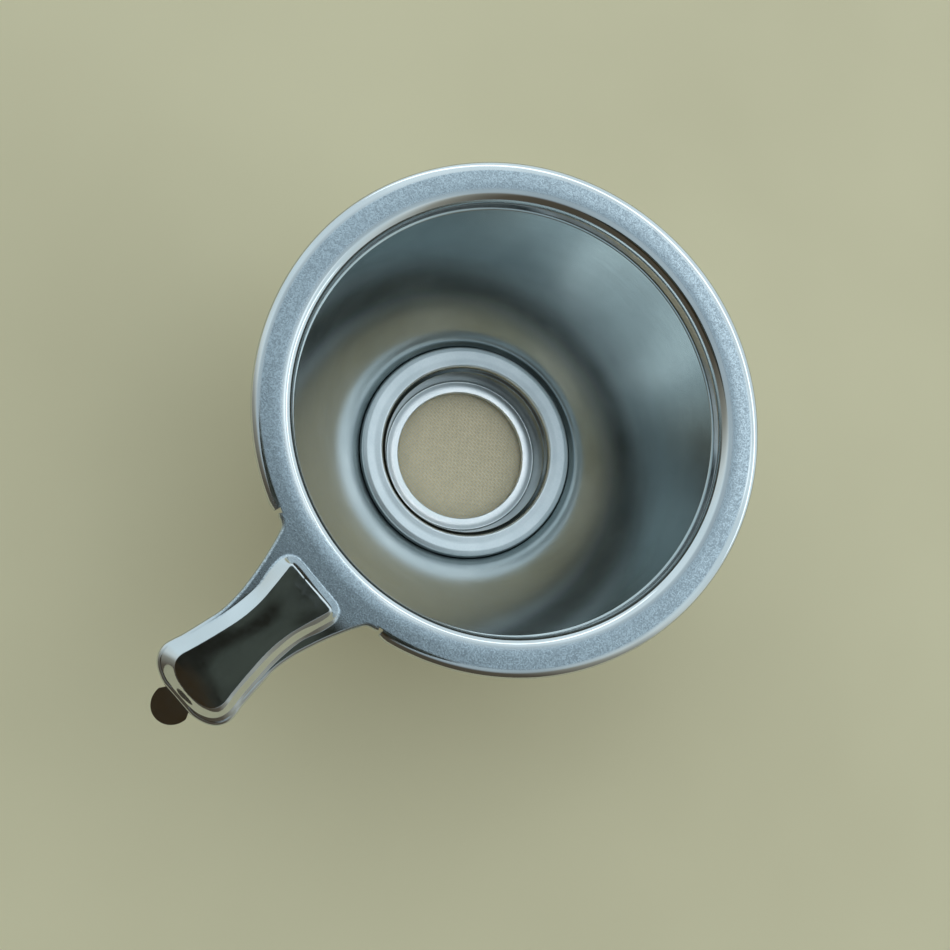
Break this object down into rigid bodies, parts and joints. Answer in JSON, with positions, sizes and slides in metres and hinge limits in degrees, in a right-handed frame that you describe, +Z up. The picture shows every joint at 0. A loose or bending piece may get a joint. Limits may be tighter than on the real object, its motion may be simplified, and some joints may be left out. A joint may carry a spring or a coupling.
{
  "type": "funnel strainer",
  "caption": "Small stainless steel funnel strainer: conical bowl, flat hemmed rim with a short stamped handle, and a raised outlet ring that clamps fine filter mesh.",
  "frame": {"origin": "centre of the whole object's bounding box at the foot, so it lies between the bowl's axis and the handle", "axes": "+Z up along the bowl's axis towards the rim, -Y along the handle, +X to the right seen from the handle's side"},
  "size_m": [0.0908, 0.1216, 0.0499],
  "materials": {
    "rim_steel": "fine etched satin on the rim, polished on the collar and the handle's raised panel",
    "bowl_steel": "satin, spun",
    "ring_steel": "bright satin",
    "mesh_steel": "woven wire"
  },
  "bodies": {
    "root": {"rim_and_handle": "rim_steel", "bowl": "bowl_steel", "outlet_ring": "ring_steel", "filter_mesh": "mesh_steel", "retaining_ring": "ring_steel"}
  },
  "joints": []
}
